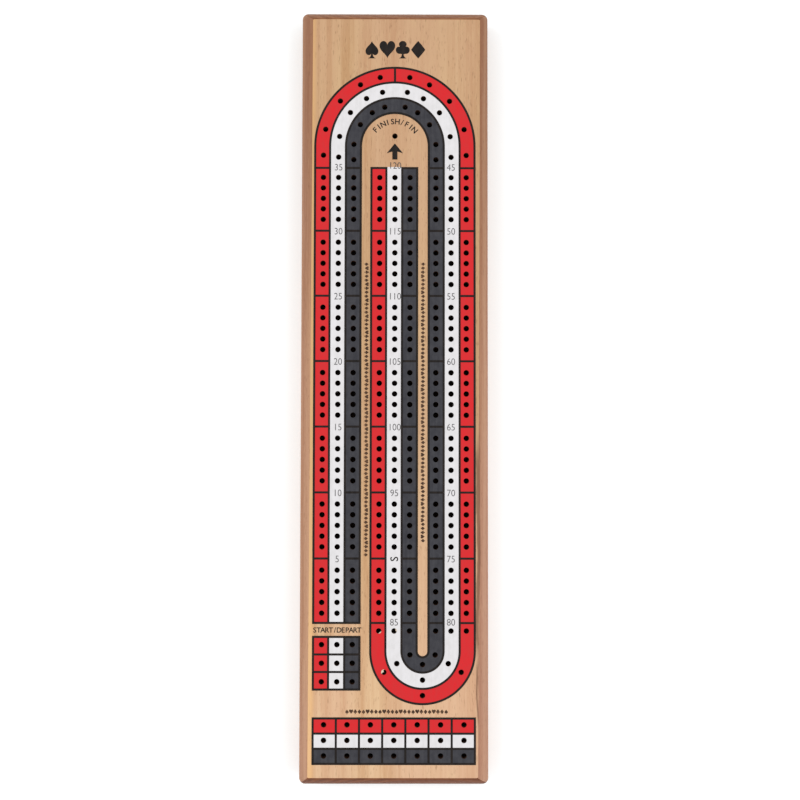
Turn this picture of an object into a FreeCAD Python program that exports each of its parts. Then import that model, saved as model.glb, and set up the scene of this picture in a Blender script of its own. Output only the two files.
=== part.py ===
import FreeCAD, Part
import math
import os

from FreeCAD import Vector

# A three-lane cribbage board. Millimetres, +Z up, origin at the centre of the underside.
# +Y runs from the games counter to the top bend, and +X runs to the right of a player at the -Y end.

# ---- board ----
BOARD_LENGTH = 366.6
BOARD_WIDTH = 89.0
BOARD_THICKNESS = 19.0
CORNER_RADIUS = 2.8
RIM_CORNER_RADIUS = 0.7
CHAMFER_WIDTH = 4.5
CHAMFER_DROP = 6.0

# ---- peg holes ----
HOLE_RADIUS = 1.3
HOLE_DEPTH = 9.0
ROW_PITCH = 5.0
GROUP_PITCH = 30.86
GROUPS = 7
ROWS_PER_GROUP = 5

# ---- print ----
PRINT_THICKNESS = 0.1
LINE_WIDTH = 1.0
COLOURS = ("red", "white", "dark")

# The three lanes run up the left side, round the top bend, down the right side,
# round the bottom bend and up the middle. Edges are distances from the board's centre line,
# from the outside of the red lane to the inside of the dark one.
LANE_EDGES = (37.75, 30.7, 23.2, 16.1)
LANE_HOLES = {"red": 33.83, "white": 26.64, "dark": 19.46}
TOP_BEND_Y = 117.4
BOTTOM_BEND_X = 13.35
BOTTOM_BEND_Y = -120.25
LANE_END_Y = 107.1

# Holes in the bends: degrees either side of the bend's far point, and the last one on the straight.
TOP_BEND_ANGLES = {
    "red": (12.0, 29.0, 50.0, 76.0),
    "white": (12.8, 30.5, 52.5, 79.7),
    "dark": (14.4, 33.6, 57.5, 87.0),
}
TOP_STRAIGHT_Y = {"red": 113.2, "white": 112.3, "dark": 111.1}
BOTTOM_BEND_ANGLES = {"red": 61.8, "white": 64.7, "dark": 74.3}
BOTTOM_STRAIGHT_Y = -110.8

# ---- start boxes, games counter and finish hole ----
START_ROWS = 3
START_TOP_Y = -113.6
START_ROW = 8.12
START_HOLE_PITCH = 8.6
GAMES_TOP_Y = -151.3
GAMES_ROW = 6.98
GAMES_HOLES_Y = -161.4
GAMES_HOLE_PITCH_Y = 7.18
GAMES_COLUMNS = 7
GAMES_COLUMN = 10.79
GAMES_HOLE_PITCH_X = 10.9
FINISH_Y = 122.4

# ---- storage pocket and its sliding cover, in the underside ----
POCKET_LENGTH = 44.0
POCKET_WIDTH = 35.0
POCKET_TOP_Z = 8.2
POCKET_RADIUS = 3.0
TROUGH_WIDTH = 37.0
GROOVE_WIDTH = 42.0
GROOVE_LOW_Z = 1.2
GROOVE_HIGH_Z = 2.3
TROUGH_RADIUS = 5.0
COVER_LAP = 5.0
COVER_THICKNESS = 0.8
COVER_SIDE_GAP = 0.3
COVER_TRAVEL = POCKET_LENGTH + COVER_LAP
RIB_LENGTH = 14.0
RIB_RADIUS = 0.6
RIB_PITCH = 3.2
RIB_COUNT = 3
RIB_FROM_END = 8.0

# ---- pegs ----
PEG_LENGTH = 32.0
PEG_TIP_RADIUS = 1.1
PEG_SHANK_RADIUS = 1.15
PEG_SHANK_LENGTH = 9.0
PEG_COLLAR_RADIUS = 1.45
PEG_COLLAR_Y = 24.0
PEG_NECK_RADIUS = 1.2
PEG_NECK_Y = 25.5
PEG_HEAD_RADIUS = 1.7
PEG_HEAD_FLARE = 1.2
PEG_PITCH = 3.8
PEGS_PER_COLOUR = 3
PEG_AXIS_Z = 4.1
PEG_END_GAP = 0.5
PEG_STAGGER = 0.6
STAGGER_STEPS = 3

# How far cutting shapes run past the face that they cut through.
CUT_PAST = 1.0


def rounded_slab(width, length, radius, low_z, high_z, centre_y=0.0):
    """Upright slab with rounded vertical edges, centred on X = 0 and on centre_y."""
    slab = Part.makeBox(width, length, high_z - low_z, Vector(-width / 2, centre_y - length / 2, low_z))
    upright = [e for e in slab.Edges if abs(e.Vertexes[0].Z - e.Vertexes[1].Z) > 0.5 * (high_z - low_z)]
    return slab.makeFillet(radius, upright)


def lane_hole_centres(colour):
    """Centres of one lane's peg holes on the track, from the left side's foot to the middle's top."""
    reach = LANE_HOLES[colour]
    bend_reach = reach - BOTTOM_BEND_X
    centres = []
    for x in (-reach, 2 * BOTTOM_BEND_X - reach, reach):
        for group in range(GROUPS):
            for row in range(ROWS_PER_GROUP):
                y = (group - (GROUPS - 1) / 2) * GROUP_PITCH + (row - (ROWS_PER_GROUP - 1) / 2) * ROW_PITCH
                centres.append((x, y))
    for side in (-1, 1):
        for degrees in TOP_BEND_ANGLES[colour]:
            angle = math.radians(degrees)
            centres.append((side * reach * math.sin(angle), TOP_BEND_Y + reach * math.cos(angle)))
        centres.append((side * reach, TOP_STRAIGHT_Y[colour]))
        angle = math.radians(BOTTOM_BEND_ANGLES[colour])
        x = BOTTOM_BEND_X + side * bend_reach * math.sin(angle)
        centres.append((x, BOTTOM_BEND_Y - bend_reach * math.cos(angle)))
        centres.append((BOTTOM_BEND_X + side * bend_reach, BOTTOM_STRAIGHT_Y))
    centres.append((BOTTOM_BEND_X, BOTTOM_BEND_Y - bend_reach))
    return centres


def start_hole_centres(colour):
    middle_y = START_TOP_Y - START_ROWS / 2 * START_ROW
    return [(-LANE_HOLES[colour], middle_y + row * START_HOLE_PITCH) for row in (-1, 0, 1)]


def games_hole_centres(colour):
    y = GAMES_HOLES_Y + (1 - COLOURS.index(colour)) * GAMES_HOLE_PITCH_Y
    first = -(GAMES_COLUMNS - 1) / 2
    return [((first + column) * GAMES_HOLE_PITCH_X, y) for column in range(GAMES_COLUMNS)]


def all_hole_centres():
    centres = [(0.0, FINISH_Y)]
    for colour in COLOURS:
        centres += lane_hole_centres(colour)
        centres += start_hole_centres(colour)
        centres += games_hole_centres(colour)
    return centres


def upright_pins(centres, low_z, high_z):
    """One compound of the cylinders that cut the peg holes."""
    pins = [Part.makeCylinder(HOLE_RADIUS, high_z - low_z, Vector(x, y, low_z)) for x, y in centres]
    return Part.makeCompound(pins)


def chamfered_blank():
    """Plank with a steep chamfer round its top edge, mitred at the corners."""
    shoulder_z = BOARD_THICKNESS - CHAMFER_DROP
    lower = rounded_slab(BOARD_WIDTH, BOARD_LENGTH, CORNER_RADIUS, 0.0, shoulder_z)
    half_x = BOARD_WIDTH / 2
    half_y = BOARD_LENGTH / 2
    shoulder = corner_loop(half_x, half_y, CORNER_RADIUS, shoulder_z)
    rim = corner_loop(half_x - CHAMFER_WIDTH, half_y - CHAMFER_WIDTH, RIM_CORNER_RADIUS, BOARD_THICKNESS)
    upper = Part.makeLoft([shoulder, rim], True, True)
    return lower.fuse(upper).removeSplitter()


def corner_loop(half_x, half_y, radius, z):
    """Closed rectangular wire with round corners."""
    corners = ((half_x, half_y), (-half_x, half_y), (-half_x, -half_y), (half_x, -half_y))
    arcs = []
    for index, (x, y) in enumerate(corners):
        sign_x = math.copysign(1.0, x)
        sign_y = math.copysign(1.0, y)
        along_x = Vector(x - sign_x * radius, y, z)
        along_y = Vector(x, y - sign_y * radius, z)
        bulge = radius * (1 - math.sqrt(0.5))
        middle = Vector(x - sign_x * bulge, y - sign_y * bulge, z)
        first, last = (along_y, along_x) if index % 2 == 0 else (along_x, along_y)
        arcs.append((first, middle, last))
    edges = []
    for index, (first, middle, last) in enumerate(arcs):
        next_first = arcs[(index + 1) % len(arcs)][0]
        edges.append(Part.Arc(first, middle, last).toShape())
        edges.append(Part.makeLine(last, next_first))
    return Part.Wire(edges)


def storage_hollow():
    """The routed pocket, with the grooved trough that its cover slides in."""
    low_y = -POCKET_LENGTH / 2 - COVER_LAP - COVER_SIDE_GAP
    high_y = POCKET_LENGTH / 2 + COVER_LAP + COVER_TRAVEL + COVER_SIDE_GAP
    middle_y = (low_y + high_y) / 2
    undercut = GROOVE_WIDTH - TROUGH_WIDTH
    length = high_y - low_y
    radius = TROUGH_RADIUS - undercut / 2
    trough = rounded_slab(TROUGH_WIDTH, length - undercut, radius, -CUT_PAST, GROOVE_HIGH_Z, middle_y)
    groove = rounded_slab(GROOVE_WIDTH, length, TROUGH_RADIUS, GROOVE_LOW_Z, GROOVE_HIGH_Z, middle_y)
    pocket = rounded_slab(POCKET_WIDTH, POCKET_LENGTH, POCKET_RADIUS, GROOVE_LOW_Z, POCKET_TOP_Z)
    return trough.fuse([groove, pocket])


def make_board():
    pins = upright_pins(all_hole_centres(), BOARD_THICKNESS - HOLE_DEPTH, BOARD_THICKNESS + CUT_PAST)
    return chamfered_blank().cut(storage_hollow()).cut(pins)


def make_cover():
    length = POCKET_LENGTH + 2 * COVER_LAP
    low_z = (GROOVE_LOW_Z + GROOVE_HIGH_Z - COVER_THICKNESS) / 2
    width = GROOVE_WIDTH - 2 * COVER_SIDE_GAP
    plate = rounded_slab(width, length, TROUGH_RADIUS, low_z, low_z + COVER_THICKNESS)
    ribs = []
    for index in range(RIB_COUNT):
        y = -length / 2 + RIB_FROM_END + index * RIB_PITCH
        rib = Part.makeCylinder(RIB_RADIUS, RIB_LENGTH, Vector(-RIB_LENGTH / 2, y, low_z), Vector(1, 0, 0))
        ends = [Part.makeSphere(RIB_RADIUS, Vector(side * RIB_LENGTH / 2, y, low_z)) for side in (-1, 1)]
        ribs.append(rib.fuse(ends))
    return plate.fuse(ribs).removeSplitter()


def make_peg():
    """One moulded peg along +Y from its tip at Y = 0, turned about the Y axis."""
    tip_y = PEG_TIP_RADIUS
    crown_y = PEG_LENGTH - PEG_HEAD_RADIUS
    head_low_y = PEG_NECK_Y + PEG_HEAD_FLARE
    slant = math.sqrt(0.5)
    corners = [
        Vector(PEG_TIP_RADIUS, tip_y, 0),
        Vector(PEG_SHANK_RADIUS, PEG_SHANK_LENGTH, 0),
        Vector(PEG_COLLAR_RADIUS, PEG_COLLAR_Y, 0),
        Vector(PEG_NECK_RADIUS, PEG_NECK_Y, 0),
        Vector(PEG_HEAD_RADIUS, head_low_y, 0),
        Vector(PEG_HEAD_RADIUS, crown_y, 0),
    ]
    tip_middle = Vector(PEG_TIP_RADIUS * slant, PEG_TIP_RADIUS * (1 - slant), 0)
    crown_middle = Vector(PEG_HEAD_RADIUS * slant, crown_y + PEG_HEAD_RADIUS * slant, 0)
    outline = [Part.Arc(Vector(0, 0, 0), tip_middle, corners[0]).toShape()]
    for first, last in zip(corners, corners[1:]):
        outline.append(Part.makeLine(first, last))
    outline.append(Part.Arc(corners[-1], crown_middle, Vector(0, PEG_LENGTH, 0)).toShape())
    outline.append(Part.makeLine(Vector(0, PEG_LENGTH, 0), Vector(0, 0, 0)))
    face = Part.Face(Part.Wire(outline))
    return face.revolve(Vector(0, 0, 0), Vector(0, 1, 0), 360)


def stored_peg(peg, place):
    """A peg lying in the pocket, places counted from the left. Every second one lies head to tail."""
    pegs = PEGS_PER_COLOUR * len(COLOURS)
    x = (place - (pegs - 1) / 2) * PEG_PITCH
    low_y = -POCKET_LENGTH / 2 + PEG_END_GAP + (place % STAGGER_STEPS) * PEG_STAGGER
    laid = peg.copy()
    if place % 2 == 1:
        laid.rotate(Vector(0, PEG_LENGTH / 2, 0), Vector(0, 0, 1), 180)
    laid.translate(Vector(x, low_y, PEG_AXIS_Z))
    return laid


def plate(wire):
    """Print film of the wire's outline, lying on the board's top face."""
    face = Part.Face(wire)
    return face.extrude(Vector(0, 0, PRINT_THICKNESS))


def box_plate(low_x, low_y, high_x, high_y):
    corner = Vector(low_x, low_y, BOARD_THICKNESS)
    return Part.makeBox(high_x - low_x, high_y - low_y, PRINT_THICKNESS, corner)


def bend_wire(centre_x, centre_y, radius, foot_y, way):
    """U-shaped outline: a half circle of the radius, with straight legs down to the foot."""
    z = BOARD_THICKNESS
    left = Vector(centre_x - radius, centre_y, z)
    right = Vector(centre_x + radius, centre_y, z)
    far = Vector(centre_x, centre_y + way * radius, z)
    left_foot = Vector(left.x, foot_y, z)
    right_foot = Vector(right.x, foot_y, z)
    edges = [
        Part.makeLine(left_foot, left),
        Part.Arc(left, far, right).toShape(),
        Part.makeLine(right, right_foot),
        Part.makeLine(right_foot, left_foot),
    ]
    return Part.Wire(edges)


def lane_limits(lane, inset):
    """Outer and inner edge of a lane, counted from the board's centre line and drawn in by the inset."""
    return LANE_EDGES[lane] - inset, LANE_EDGES[lane + 1] + inset


def lane_area(lane, inset):
    """One lane of the track, as a film, with its edges and ends drawn in by the inset.

    The white lane's last end, at the top of the middle, has no black line across it."""
    outer, inner = lane_limits(lane, inset)
    end = LANE_END_Y - inset
    top = plate(bend_wire(0.0, TOP_BEND_Y, outer, end, 1))
    top = top.cut(plate(bend_wire(0.0, TOP_BEND_Y, inner, end, 1)))
    bend_outer = outer - BOTTOM_BEND_X
    bend_inner = inner - BOTTOM_BEND_X
    bottom = plate(bend_wire(BOTTOM_BEND_X, BOTTOM_BEND_Y, bend_outer, -end, -1))
    bottom = bottom.cut(plate(bend_wire(BOTTOM_BEND_X, BOTTOM_BEND_Y, bend_inner, -end, -1)))
    left = box_plate(-outer, -end, -inner, end)
    right = box_plate(inner, -end, outer, end)
    middle_end = LANE_END_Y + LINE_WIDTH / 2 if COLOURS[lane] == "white" else end
    middle = box_plate(2 * BOTTOM_BEND_X - outer, -end, 2 * BOTTOM_BEND_X - inner, middle_end)
    return left.fuse([top, right, bottom, middle])


def start_box(lane, row, inset):
    outer, inner = lane_limits(lane, inset)
    top = START_TOP_Y - row * START_ROW
    return box_plate(-outer, top - START_ROW + inset, -inner, top - inset)


def games_box(lane, column, inset):
    left = (column - GAMES_COLUMNS / 2) * GAMES_COLUMN
    top = GAMES_TOP_Y - lane * GAMES_ROW
    return box_plate(left + inset, top - GAMES_ROW + inset, left + GAMES_COLUMN - inset, top - inset)


def cross_lines(lane):
    """Black lines across a lane between its groups of holes. The white lane has numbers there instead."""
    if COLOURS[lane] == "white":
        return []
    outer, inner = lane_limits(lane, 0.0)
    half = LINE_WIDTH / 2
    lines = []
    middle = (2 * BOTTOM_BEND_X - outer, 2 * BOTTOM_BEND_X - inner)
    for low, high in ((-outer, -inner), middle, (inner, outer)):
        for step in range(GROUPS + 1):
            y = (step - GROUPS / 2) * GROUP_PITCH
            y = max(-LANE_END_Y, min(LANE_END_Y, y))
            lines.append(box_plate(low, y - half, high, y + half))
    if COLOURS[lane] == "red":
        lines.append(box_plate(-half, TOP_BEND_Y + inner, half, TOP_BEND_Y + outer))
    return lines


def lane_colour_areas(lane):
    """All that is printed in one lane's colour, between the black lines and before the holes."""
    inset = LINE_WIDTH / 2
    lines = cross_lines(lane)
    track = lane_area(lane, inset)
    if lines:
        track = track.cut(lines)
    start = [start_box(lane, row, inset) for row in range(START_ROWS)]
    games = [games_box(lane, column, inset) for column in range(GAMES_COLUMNS)]
    return track.Solids + start + games


def lane_outer_areas(lane):
    """The same areas out to the outside of their black lines."""
    outset = -LINE_WIDTH / 2
    start = [start_box(lane, row, outset) for row in range(START_ROWS)]
    games = [games_box(lane, column, outset) for column in range(GAMES_COLUMNS)]
    return [lane_area(lane, outset)] + start + games


def make_prints():
    """The three lane colours and the black lines round them, with the peg holes through."""
    pins = upright_pins(all_hole_centres(), BOARD_THICKNESS - CUT_PAST, BOARD_THICKNESS + CUT_PAST)
    prints = {}
    colours = []
    outers = []
    for lane, colour in enumerate(COLOURS):
        areas = lane_colour_areas(lane)
        colours += areas
        outers += lane_outer_areas(lane)
        prints[colour + "_lane_print"] = Part.makeCompound(areas).cut(pins)
    whole = outers[0].fuse(outers[1:]).removeSplitter()
    prints["outline_print"] = whole.cut(Part.makeCompound(colours))
    return prints


def save(name, shape):
    solids = shape.Solids
    whole = solids[0] if len(solids) == 1 else Part.makeCompound(solids)
    whole.exportStep("parts/" + name + ".step")
    valid = all(solid.isValid() for solid in solids)
    print(name, "solids", len(solids), "volume", round(whole.Volume, 1), "valid", valid)


def main():
    os.makedirs("parts", exist_ok=True)
    print("holes", len(all_hole_centres()), "cover travel", COVER_TRAVEL)
    save("board", make_board())
    for name, shape in make_prints().items():
        save(name, shape)
    save("storage_cover", make_cover())
    peg = make_peg()
    place = 0
    for colour in COLOURS:
        for number in range(1, PEGS_PER_COLOUR + 1):
            save(colour + "_peg_" + str(number), stored_peg(peg, place))
            place += 1


main()
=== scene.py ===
import math
import random

import bmesh
import bpy
from mathutils import Matrix, Vector
from mathutils.geometry import delaunay_2d_cdt


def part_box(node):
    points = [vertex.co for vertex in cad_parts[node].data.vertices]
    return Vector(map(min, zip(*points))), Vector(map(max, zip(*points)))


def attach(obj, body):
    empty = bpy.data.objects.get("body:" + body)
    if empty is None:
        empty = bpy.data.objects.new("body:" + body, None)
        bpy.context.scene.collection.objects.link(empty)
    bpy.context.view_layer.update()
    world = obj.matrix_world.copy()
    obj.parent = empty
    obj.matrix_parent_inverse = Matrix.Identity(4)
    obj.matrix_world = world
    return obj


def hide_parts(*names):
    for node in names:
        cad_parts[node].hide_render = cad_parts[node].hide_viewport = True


# The looks of a three-lane cribbage board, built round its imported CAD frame.
# Metres, +Z up, origin at the centre of the underside, +Y towards the top bend.

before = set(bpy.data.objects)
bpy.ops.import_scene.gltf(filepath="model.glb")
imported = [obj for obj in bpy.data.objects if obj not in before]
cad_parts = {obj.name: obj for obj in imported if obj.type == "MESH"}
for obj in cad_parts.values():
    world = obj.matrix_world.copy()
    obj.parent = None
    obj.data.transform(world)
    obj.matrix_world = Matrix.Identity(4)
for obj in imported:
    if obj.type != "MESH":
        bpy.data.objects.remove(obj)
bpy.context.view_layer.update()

MM = 0.001
COLOURS = ("red", "white", "dark")

# ---- board, from the frame where the frame says it ----
board_low, board_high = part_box("board")
BOARD_WIDTH = board_high.x - board_low.x
BOARD_LENGTH = board_high.y - board_low.y
TOP_Z = board_high.z
CORNER_RADIUS = 2.8 * MM
RIM_CORNER_RADIUS = 0.7 * MM
CORNER_STEPS = 8
CHAMFER_WIDTH = 4.5 * MM
CHAMFER_DROP = 6.0 * MM
CHAMFER_CROWN = 0.35 * MM
CHAMFER_STEPS = 8
RIM_ROUND = 0.3 * MM
# The chamfers were cut slightly askew: the rim stands further right towards the top,
# and further down at the bottom.
RIM_SHIFT = 0.1 * MM
RIM_LEAN = 0.6 * MM
RIM_DROP = 0.3 * MM
ARRIS_RADIUS = 0.6 * MM
ARRIS_STEPS = 4

# ---- peg holes ----
HOLE_RADIUS = 1.3 * MM
HOLE_DEPTH = 9.0 * MM
HOLE_SIDES = 28
DRILL_POINT = 0.5 * MM
ROW_PITCH = 5.0 * MM
GROUP_PITCH = 30.86 * MM
GROUPS = 7
ROWS_PER_GROUP = 5

# ---- lanes: distances from the centre line, outside of red to inside of dark ----
LINE_WIDTH = 1.0 * MM
LANE_EDGES = (37.75 * MM, 30.7 * MM, 23.2 * MM, 16.1 * MM)
LANE_HOLES = {"red": 33.83 * MM, "white": 26.64 * MM, "dark": 19.46 * MM}
TOP_BEND_Y = 117.4 * MM
BOTTOM_BEND_X = 13.35 * MM
BOTTOM_BEND_Y = -120.25 * MM
LANE_END_Y = 107.1 * MM
BEND_STEPS = 72
TOP_BEND_ANGLES = {
    "red": (12.0, 29.0, 50.0, 76.0),
    "white": (12.8, 30.5, 52.5, 79.7),
    "dark": (14.4, 33.6, 57.5, 87.0),
}
TOP_STRAIGHT_Y = {"red": 113.2 * MM, "white": 112.3 * MM, "dark": 111.1 * MM}
BOTTOM_BEND_ANGLES = {"red": 61.8, "white": 64.7, "dark": 74.3}
BOTTOM_STRAIGHT_Y = -110.8 * MM

# ---- start boxes, games counter and finish hole ----
START_ROWS = 3
START_TOP_Y = -113.6 * MM
START_ROW = 8.12 * MM
START_HOLE_PITCH = 8.6 * MM
GAMES_TOP_Y = -151.3 * MM
GAMES_ROW = 6.98 * MM
GAMES_HOLES_Y = -161.4 * MM
GAMES_HOLE_PITCH_Y = 7.18 * MM
GAMES_COLUMNS = 7
GAMES_COLUMN = 10.79 * MM
GAMES_HOLE_PITCH_X = 10.9 * MM
FINISH_Y = 122.4 * MM

# ---- ink films: the CAD films' height, shared out so that black lies over colour ----
INK_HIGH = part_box("outline_print")[1].z
COLOUR_INK_HIGH = TOP_Z + 0.6 * (INK_HIGH - TOP_Z)
LETTER_INK_HIGH = TOP_Z + 0.4 * (INK_HIGH - TOP_Z)

# ---- storage hollow and cover ----
POCKET_LENGTH = 44.0 * MM
POCKET_WIDTH = 35.0 * MM
POCKET_TOP_Z = 8.2 * MM
POCKET_RADIUS = 3.0 * MM
TROUGH_WIDTH = 37.0 * MM
GROOVE_WIDTH = 42.0 * MM
GROOVE_LOW_Z = 1.2 * MM
GROOVE_HIGH_Z = 2.3 * MM
TROUGH_RADIUS = 5.0 * MM
COVER_LAP = 5.0 * MM
COVER_THICKNESS = 0.8 * MM
COVER_SIDE_GAP = 0.3 * MM
COVER_EDGE_ROUND = 0.12 * MM
RIB_LENGTH = 14.0 * MM
RIB_RADIUS = 0.6 * MM
RIB_PITCH = 3.2 * MM
RIB_COUNT = 3
RIB_FROM_END = 8.0 * MM
RIB_STEPS = 5

# ---- pegs ----
PEGS_PER_COLOUR = 3
PEG_LENGTH = 32.0 * MM
PEG_TIP_RADIUS = 1.1 * MM
PEG_SHANK_RADIUS = 1.15 * MM
PEG_SHANK_LENGTH = 9.0 * MM
PEG_COLLAR_RADIUS = 1.45 * MM
PEG_COLLAR_Y = 24.0 * MM
PEG_NECK_RADIUS = 1.2 * MM
PEG_NECK_Y = 25.5 * MM
PEG_HEAD_RADIUS = 1.7 * MM
PEG_HEAD_FLARE = 1.2 * MM
PEG_SIDES = 40
PEG_ROUND_STEPS = 8

# ---- camera, floor and lights ----
CAMERA_SENSOR = 36.0
CAMERA_LENS = 47.85
CAMERA_PLACE = (1.05 * MM, -19.85 * MM, TOP_Z + 0.5)
CAMERA_TURN = (1.944, -0.185, 0.10)
FLOOR_REACH = 30.0
FLOOR_Z = -0.1 * MM
SKY_STRENGTH = 0.75
SOFTBOX_SIZE = (0.9, 1.4)
SOFTBOX_POWER = 8.4


# ======== flat outlines ========

def arc(centre, radius, start, end, steps):
    """Points along an arc, both ends included. Angles are degrees from +X towards +Y."""
    points = []
    for step in range(steps + 1):
        angle = math.radians(start + (end - start) * step / steps)
        points.append((centre[0] + radius * math.cos(angle), centre[1] + radius * math.sin(angle)))
    return points


def circle(centre, radius, sides=HOLE_SIDES):
    return arc(centre, radius, 0, 360, sides)[:-1]


def rectangle(low_x, low_y, high_x, high_y):
    return [(low_x, low_y), (high_x, low_y), (high_x, high_y), (low_x, high_y)]


def rounded_rectangle(width, length, radius, centre_y=0.0):
    x = width / 2 - radius
    y = length / 2 - radius
    points = arc((x, centre_y + y), radius, 0, 90, CORNER_STEPS)
    points += arc((-x, centre_y + y), radius, 90, 180, CORNER_STEPS)
    points += arc((-x, centre_y - y), radius, 180, 270, CORNER_STEPS)
    points += arc((x, centre_y - y), radius, 270, 360, CORNER_STEPS)
    return points


def stadium(length, radius, centre_y):
    """Outline of a rib along X: its straight part's length, and the radius of its round ends."""
    points = arc((length / 2, centre_y), radius, -90, 90, CORNER_STEPS)
    return points + arc((-length / 2, centre_y), radius, 90, 270, CORNER_STEPS)


def placed(outline, centre, size, turn=0.0):
    """An outline of height 1 about (0, 0), made that size, turned by degrees and moved to the centre."""
    cos = math.cos(math.radians(turn)) * size
    sin = math.sin(math.radians(turn)) * size
    return [(centre[0] + x * cos - y * sin, centre[1] + x * sin + y * cos) for x, y in outline]


# ======== peg hole centres ========

def lane_holes(colour):
    """Centres of one lane's holes on the track, from the left side's foot to the middle's top."""
    reach = LANE_HOLES[colour]
    bend_reach = reach - BOTTOM_BEND_X
    centres = []
    for x in (-reach, 2 * BOTTOM_BEND_X - reach, reach):
        for group in range(GROUPS):
            for row in range(ROWS_PER_GROUP):
                y = (group - (GROUPS - 1) / 2) * GROUP_PITCH + (row - (ROWS_PER_GROUP - 1) / 2) * ROW_PITCH
                centres.append((x, y))
    for side in (-1, 1):
        for degrees in TOP_BEND_ANGLES[colour]:
            angle = math.radians(degrees)
            centres.append((side * reach * math.sin(angle), TOP_BEND_Y + reach * math.cos(angle)))
        centres.append((side * reach, TOP_STRAIGHT_Y[colour]))
        centres.append(bottom_bend_hole(colour, side))
        centres.append((BOTTOM_BEND_X + side * bend_reach, BOTTOM_STRAIGHT_Y))
    centres.append((BOTTOM_BEND_X, BOTTOM_BEND_Y - bend_reach))
    return centres


def bottom_bend_hole(colour, side):
    """The bottom bend's hole on the left, -1, or on the right, 1."""
    reach = LANE_HOLES[colour] - BOTTOM_BEND_X
    angle = math.radians(BOTTOM_BEND_ANGLES[colour])
    return (BOTTOM_BEND_X + side * reach * math.sin(angle), BOTTOM_BEND_Y - reach * math.cos(angle))


def start_holes(colour):
    middle_y = START_TOP_Y - START_ROWS / 2 * START_ROW
    return [(-LANE_HOLES[colour], middle_y + row * START_HOLE_PITCH) for row in (-1, 0, 1)]


def games_holes(colour):
    y = GAMES_HOLES_Y + (1 - COLOURS.index(colour)) * GAMES_HOLE_PITCH_Y
    first = -(GAMES_COLUMNS - 1) / 2
    return [((first + column) * GAMES_HOLE_PITCH_X, y) for column in range(GAMES_COLUMNS)]


def colour_holes(colour):
    return lane_holes(colour) + start_holes(colour) + games_holes(colour)


def all_holes():
    centres = [(0.0, FINISH_Y)]
    for colour in COLOURS:
        centres += colour_holes(colour)
    return centres


# ======== outlines of the printed areas ========

def divider_heights():
    """Heights of the lines between the groups of holes, with the columns' two ends."""
    heights = [(step - GROUPS / 2) * GROUP_PITCH for step in range(GROUPS + 1)]
    return [max(-LANE_END_Y, min(LANE_END_Y, y)) for y in heights]


def lane_edge(reach, foot_y, end_y):
    """A lane's edge at that distance from the centre line, from the left foot to the middle's top."""
    edge = [(-reach, foot_y)]
    edge += arc((0.0, TOP_BEND_Y), reach, 180, 0, BEND_STEPS)
    edge += arc((BOTTOM_BEND_X, BOTTOM_BEND_Y), reach - BOTTOM_BEND_X, 0, -180, BEND_STEPS)
    edge.append((2 * BOTTOM_BEND_X - reach, end_y))
    return edge


def half_top_bend(reach, side, gap):
    """Half of the top bend's edge, from its foot to a gap at the far point."""
    lean = math.degrees(math.asin(gap / reach))
    start = 90 - 90 * side
    foot = (side * reach, LANE_END_Y + LINE_WIDTH / 2)
    return [foot] + arc((0.0, TOP_BEND_Y), reach, start, 90 - side * lean, BEND_STEPS // 2)


def bottom_bend(reach):
    """The bottom bend's edge, from its foot on the right to the one on the left."""
    radius = reach - BOTTOM_BEND_X
    foot_y = -LANE_END_Y - LINE_WIDTH / 2
    edge = [(BOTTOM_BEND_X + radius, foot_y)]
    edge += arc((BOTTOM_BEND_X, BOTTOM_BEND_Y), radius, 0, -180, BEND_STEPS)
    edge.append((BOTTOM_BEND_X - radius, foot_y))
    return edge


def lane_limits(colour):
    """The lane's coloured part, between its black lines: outer and inner distance."""
    lane = COLOURS.index(colour)
    return LANE_EDGES[lane] - LINE_WIDTH / 2, LANE_EDGES[lane + 1] + LINE_WIDTH / 2


def divided_track(colour):
    """The coloured fields of the red or the dark lane."""
    outer, inner = lane_limits(colour)
    half = LINE_WIDTH / 2
    heights = divider_heights()
    columns = ((-outer, -inner), (2 * BOTTOM_BEND_X - outer, 2 * BOTTOM_BEND_X - inner), (inner, outer))
    fields = []
    for low_x, high_x in columns:
        for low_y, high_y in zip(heights, heights[1:]):
            fields.append(rectangle(low_x, low_y + half, high_x, high_y - half))
    fields.append(bottom_bend(outer) + bottom_bend(inner)[::-1])
    if colour == "red":
        for side in (-1, 1):
            fields.append(half_top_bend(outer, side, half) + half_top_bend(inner, side, half)[::-1])
    else:
        for_outer = half_top_bend(outer, -1, 0.0) + half_top_bend(outer, 1, 0.0)[-2::-1]
        for_inner = half_top_bend(inner, -1, 0.0) + half_top_bend(inner, 1, 0.0)[-2::-1]
        fields.append(for_outer + for_inner[::-1])
    return fields


def white_track():
    """The white lane, one strip. Its last end has no black line across it."""
    outer, inner = lane_limits("white")
    foot_y = -LANE_END_Y + LINE_WIDTH / 2
    end_y = LANE_END_Y + LINE_WIDTH / 2
    return lane_edge(outer, foot_y, end_y) + lane_edge(inner, foot_y, end_y)[::-1]


def lane_fields(colour):
    """All of one colour's fields: the track, the start boxes and the games boxes."""
    fields = [white_track()] if colour == "white" else divided_track(colour)
    outer, inner = lane_limits(colour)
    half = LINE_WIDTH / 2
    for row in range(START_ROWS):
        top = START_TOP_Y - row * START_ROW
        fields.append(rectangle(-outer, top - START_ROW + half, -inner, top - half))
    top = GAMES_TOP_Y - COLOURS.index(colour) * GAMES_ROW
    for column in range(GAMES_COLUMNS):
        left = (column - GAMES_COLUMNS / 2) * GAMES_COLUMN
        right = left + GAMES_COLUMN
        fields.append(rectangle(left + half, top - GAMES_ROW + half, right - half, top - half))
    return fields


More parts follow.
